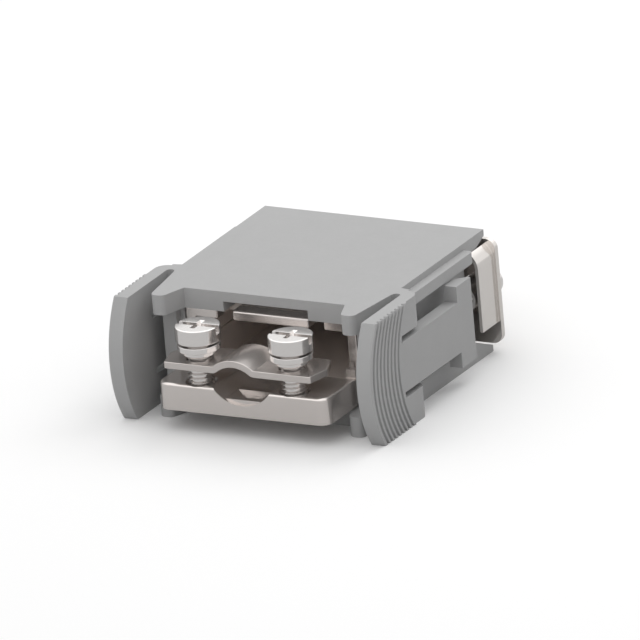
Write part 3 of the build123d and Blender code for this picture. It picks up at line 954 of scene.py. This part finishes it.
@dataclass
class Plug(Assembly):
    """The D-shaped plug with its shells, insulator, pins and pillars.

    Attributes:
        sheet_edge: Rounding of the sheet's edges.
        dimple_count: Pressed dimples on each long side of the shroud.
        dimple_pitch: Distance from one dimple to the next.
        dimple_radius: Radius of a dimple.
        dimple_depth: How deep it is pressed.
        dimple_setback: How far the dimples lie behind the shroud's front edge.
        rim_band: Depth of the band in which the shroud's front edge is found.
        block_edge: Rounding of the insulator's edges.
        pin_count: Number of pins.
        pin_edge: Rounding of the pins.
        pillar_thread: Inner radius of the pillars' thread.
        thread_depth: Depth of that thread.
        pitch: Rise of the thread in one turn.
        tap_overrun: How far the tap stands out of the pillar at each end.
        tap_inset: How much smaller than the bore the thread's root is.
        mouth_depth: Depth of the pillar's lead-in.
        mouth_length: Length of the tool that cuts it.
        mouth_spread: How much wider than the thread the lead-in's tool ends.
    """

    sheet_edge: float = 0.03
    dimple_count: int = 4
    dimple_pitch: float = 3.4
    dimple_radius: float = 0.75
    dimple_depth: float = 0.16
    dimple_setback: float = 2.6
    rim_band: float = 0.01
    block_edge: float = 0.06
    pin_count: int = 9
    pin_edge: float = 0.1
    pillar_thread: float = 1.25
    thread_depth: float = 0.3
    pitch: float = 0.635
    tap_overrun: float = 0.5
    tap_inset: float = 0.02
    mouth_depth: float = 0.35
    mouth_length: float = 0.4
    mouth_spread: float = 0.07

    def front_sheet(self) -> None:
        """Makes the front sheet with the grip dimples round its shroud."""
        sheet = Bench.copy_of("plug_shell", "front_sheet")
        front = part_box("plug_shell")[1].y / MM
        rim = [v.co for v in sheet.data.vertices if v.co.y > front - self.rim_band]
        top, bottom = max(p.z for p in rim), min(p.z for p in rim)
        ball = (self.dimple_radius**2 + self.dimple_depth**2) / (2 * self.dimple_depth)
        for number in range(self.dimple_count):
            x = (number - (self.dimple_count - 1) / 2) * self.dimple_pitch
            for face, way in ((top, 1), (bottom, -1)):
                Bench.clear()
                place = (x, front - self.dimple_setback, face + way * (ball - self.dimple_depth))
                bpy.ops.mesh.primitive_uv_sphere_add(
                    segments=ROUND_SIDES, ring_count=BALL_RINGS, radius=ball, location=place
                )
                Bench.combine(sheet, Bench.added("dimple"), Joining.CUT)
        Bench.soften(sheet, self.sheet_edge, angle=40.0)
        Bench.shade(sheet)
        self.settle(sheet, NICKEL_SHEET, Slot.SHEET_METAL, Rider.MODULE, ("plug_shell",))

    def pillar(self, side: str) -> None:
        """Makes one pillar with a thread in its bore and a lead-in at its mouth.

        Args:
            side: Which of the two pillars it is.
        """
        node = f"pillar_{side}"
        low, high = (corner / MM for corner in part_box(node))
        x, z = (low.x + high.x) / 2, (low.z + high.z) / 2
        outer = self.pillar_thread + self.thread_depth
        piece = Bench.copy_of(node, f"{side}_pillar")
        length = high.y - low.y + 2 * self.tap_overrun
        tap = Bench.thread("tap", (0, 0, 0), length, outer, self.pillar_thread - self.tap_inset, self.pitch)
        tap.rotation_euler = Axis.Y.turn
        tap.location = (x, low.y - self.tap_overrun, z)
        Bench.take(tap)
        bpy.ops.object.transform_apply(location=True, rotation=True, scale=False)
        Bench.combine(piece, tap, Joining.CUT)
        inner = (x, high.y - self.mouth_depth, z)
        mouth = Bench.rod(
            "mouth", inner, self.mouth_length, self.pillar_thread, Axis.Y, tip=outer + self.mouth_spread
        )
        Bench.combine(piece, mouth, Joining.CUT)
        Bench.shade(piece, angle=35.0)
        self.settle(piece, BRIGHT_STEEL, Slot.SCREW_STEEL, Rider.MODULE, (node,))

    def build(self) -> None:
        """Makes the plug's pieces."""
        self.front_sheet()
        self.dressed(
            "rear_shell",
            "rear_sheet",
            self.sheet_edge,
            NICKEL_SHEET,
            Slot.SHEET_METAL,
            Rider.MODULE,
            angle=40.0,
        )
        self.dressed(
            "insulator",
            "pin_block",
            self.block_edge,
            DARK_INSULATOR,
            Slot.INSULATOR_PLASTIC,
            Rider.MODULE,
            angle=40.0,
        )
        for number in range(1, self.pin_count + 1):
            self.dressed(
                f"contact_{number}",
                f"pin_{number}",
                self.pin_edge,
                GOLD_PLATING,
                Slot.CONTACT_GOLD,
                Rider.MODULE,
                angle=50.0,
            )
        for side in ("left", "right"):
            self.pillar(side)


@dataclass
class Studio:
    """Floor, light and camera.

    Attributes:
        right: The camera's right, in the object's frame.
        down: The camera's down.
        forward: The way it looks.
        target: The point at the picture's centre, in millimetres.
        width: How much the picture's side covers, in millimetres.
        distance: How far the camera stands off, in millimetres.
        clip: Nearest and farthest distance that the camera sees, in metres.
        key_place: Where the key lamp hangs, in millimetres.
        key_size: Its side in millimetres.
        key_power: Its power in watts.
        floor_size: Side of the floor in metres.
        horizon: Radiance of the sky at the horizon.
        zenith: Radiance of the sky overhead.
        sky_lean: The way in which the sky grows brighter.
        floor_tone: How much of its light the floor gives back to the object.
        ceiling: Radiance of the soft ceiling that metal mirrors, where the walls are 1.
        ceiling_edge: Height on the unit sphere at which the ceiling begins.
        ceiling_full: Height at which it has its full radiance.
    """

    right: Point = (0.88000401, 0.46839218, -0.07875093)
    down: Point = (0.09494108, -0.33592643, -0.93709104)
    forward: Point = (-0.46538063, 0.81716718, -0.34008627)
    target: Point = (-1.255, 1.958, 6.501)
    width: float = 72.15
    distance: float = 260.0
    clip: tuple[float, float] = (0.01, 5.0)
    key_place: Point = (90.0, 190.0, 260.0)
    key_size: float = 200.0
    key_power: float = 0.2
    floor_size: float = 4.0
    horizon: float = 0.3
    zenith: float = 1.2
    sky_lean: Point = (-0.2, -0.14, 1.0)
    floor_tone: float = 0.62
    ceiling: float = 1.6
    ceiling_edge: float = 0.38
    ceiling_full: float = 0.55

    def camera(self) -> None:
        """Adds the camera at the photograph's angle."""
        data = bpy.data.cameras.new("camera")
        data.type = "ORTHO"
        data.ortho_scale = self.width * MM
        data.clip_start, data.clip_end = self.clip
        camera = bpy.data.objects.new("camera", data)
        bpy.context.collection.objects.link(camera)
        axes = Matrix((self.right, [-v for v in self.down], [-v for v in self.forward])).transposed()
        place = (Vector(self.target) - Vector(self.forward) * self.distance) * MM
        camera.matrix_world = Matrix.Translation(place) @ axes.to_4x4()
        bpy.context.scene.camera = camera

    def key_lamp(self) -> None:
        """Adds the square soft lamp, which metal doesn't mirror."""
        data = bpy.data.lights.new("key", "AREA")
        data.size = self.key_size * MM
        data.energy = self.key_power
        lamp = bpy.data.objects.new("key", data)
        bpy.context.collection.objects.link(lamp)
        lamp.location = Vector(self.key_place) * MM
        lamp.visible_glossy = False
        aim = Vector(self.target) * MM - lamp.location
        lamp.rotation_euler = aim.to_track_quat("-Z", "Y").to_euler()

    def floor(self) -> None:
        """Adds the pale floor, which shows white outside the shadow."""
        Bench.clear()
        bpy.ops.mesh.primitive_plane_add(size=self.floor_size)
        floor = Bench.added("floor")
        material = bpy.data.materials.new("floor")
        material.use_nodes = True
        tree = material.node_tree
        tree.nodes.clear()
        diffuse = tree.nodes.new("ShaderNodeBsdfDiffuse")
        path = tree.nodes.new("ShaderNodeLightPath")
        tone = tree.nodes.new("ShaderNodeMapRange")
        tone.inputs["To Min"].default_value = self.floor_tone
        tone.inputs["To Max"].default_value = 1.0
        out = tree.nodes.new("ShaderNodeOutputMaterial")
        tree.links.new(path.outputs["Is Camera Ray"], tone.inputs["Value"])
        tree.links.new(tone.outputs["Result"], diffuse.inputs["Color"])
        tree.links.new(diffuse.outputs[0], out.inputs["Surface"])
        floor.data.materials.append(material)

    def world(self) -> None:
        """Lights the room from a sky that brightens upwards, and shows the room white.

        Metal mirrors pale walls and a brighter ceiling instead of that sky.
        """
        world = bpy.data.worlds.new("room")
        bpy.context.scene.world = world
        world.use_nodes = True
        tree = world.node_tree
        tree.nodes.clear()
        path = tree.nodes.new("ShaderNodeLightPath")
        shown = tree.nodes.new("ShaderNodeBackground")
        shown.inputs["Color"].default_value = (1.0, 1.0, 1.0, 1.0)
        even = tree.nodes.new("ShaderNodeBackground")
        even.inputs["Color"].default_value = (1.0, 1.0, 1.0, 1.0)
        rise = tree.nodes.new("ShaderNodeMapRange")
        rise.inputs["To Min"].default_value = self.horizon
        rise.inputs["To Max"].default_value = self.zenith
        mirror = tree.nodes.new("ShaderNodeBackground")
        mirror.inputs["Color"].default_value = (1.0, 1.0, 1.0, 1.0)
        place = tree.nodes.new("ShaderNodeTexCoord")
        lean = tree.nodes.new("ShaderNodeVectorMath")
        lean.operation = "DOT_PRODUCT"
        lean.inputs[1].default_value = self.sky_lean
        split = tree.nodes.new("ShaderNodeSeparateXYZ")
        above = tree.nodes.new("ShaderNodeMapRange")
        above.inputs["From Min"].default_value = self.ceiling_edge
        above.inputs["From Max"].default_value = self.ceiling_full
        above.inputs["To Min"].default_value = 1.0
        above.inputs["To Max"].default_value = self.ceiling
        tree.links.new(place.outputs["Generated"], lean.inputs[0])
        tree.links.new(lean.outputs["Value"], rise.inputs["Value"])
        tree.links.new(rise.outputs["Result"], even.inputs["Strength"])
        tree.links.new(place.outputs["Generated"], split.inputs[0])
        tree.links.new(split.outputs["Z"], above.inputs["Value"])
        tree.links.new(above.outputs["Result"], mirror.inputs["Strength"])
        glossy = tree.nodes.new("ShaderNodeMixShader")
        camera = tree.nodes.new("ShaderNodeMixShader")
        out = tree.nodes.new("ShaderNodeOutputWorld")
        tree.links.new(path.outputs["Is Glossy Ray"], glossy.inputs[0])
        tree.links.new(even.outputs[0], glossy.inputs[1])
        tree.links.new(mirror.outputs[0], glossy.inputs[2])
        tree.links.new(path.outputs["Is Camera Ray"], camera.inputs[0])
        tree.links.new(glossy.outputs[0], camera.inputs[1])
        tree.links.new(shown.outputs[0], camera.inputs[2])
        tree.links.new(camera.outputs[0], out.inputs["Surface"])

    def build(self) -> None:
        """Sets the studio up."""
        bpy.context.scene.view_settings.view_transform = "Standard"
        self.floor()
        self.world()
        self.key_lamp()
        self.camera()


def main() -> None:
    """Builds every assembly in order."""
    for assembly in (MouldedBody(), ScreenShells(), CableClamp(), Plug()):
        assembly.build()
        LOG.info("%s: %d pieces", type(assembly).__name__, len(assembly.made))
    Studio().build()


if __name__ == "__main__":
    main()
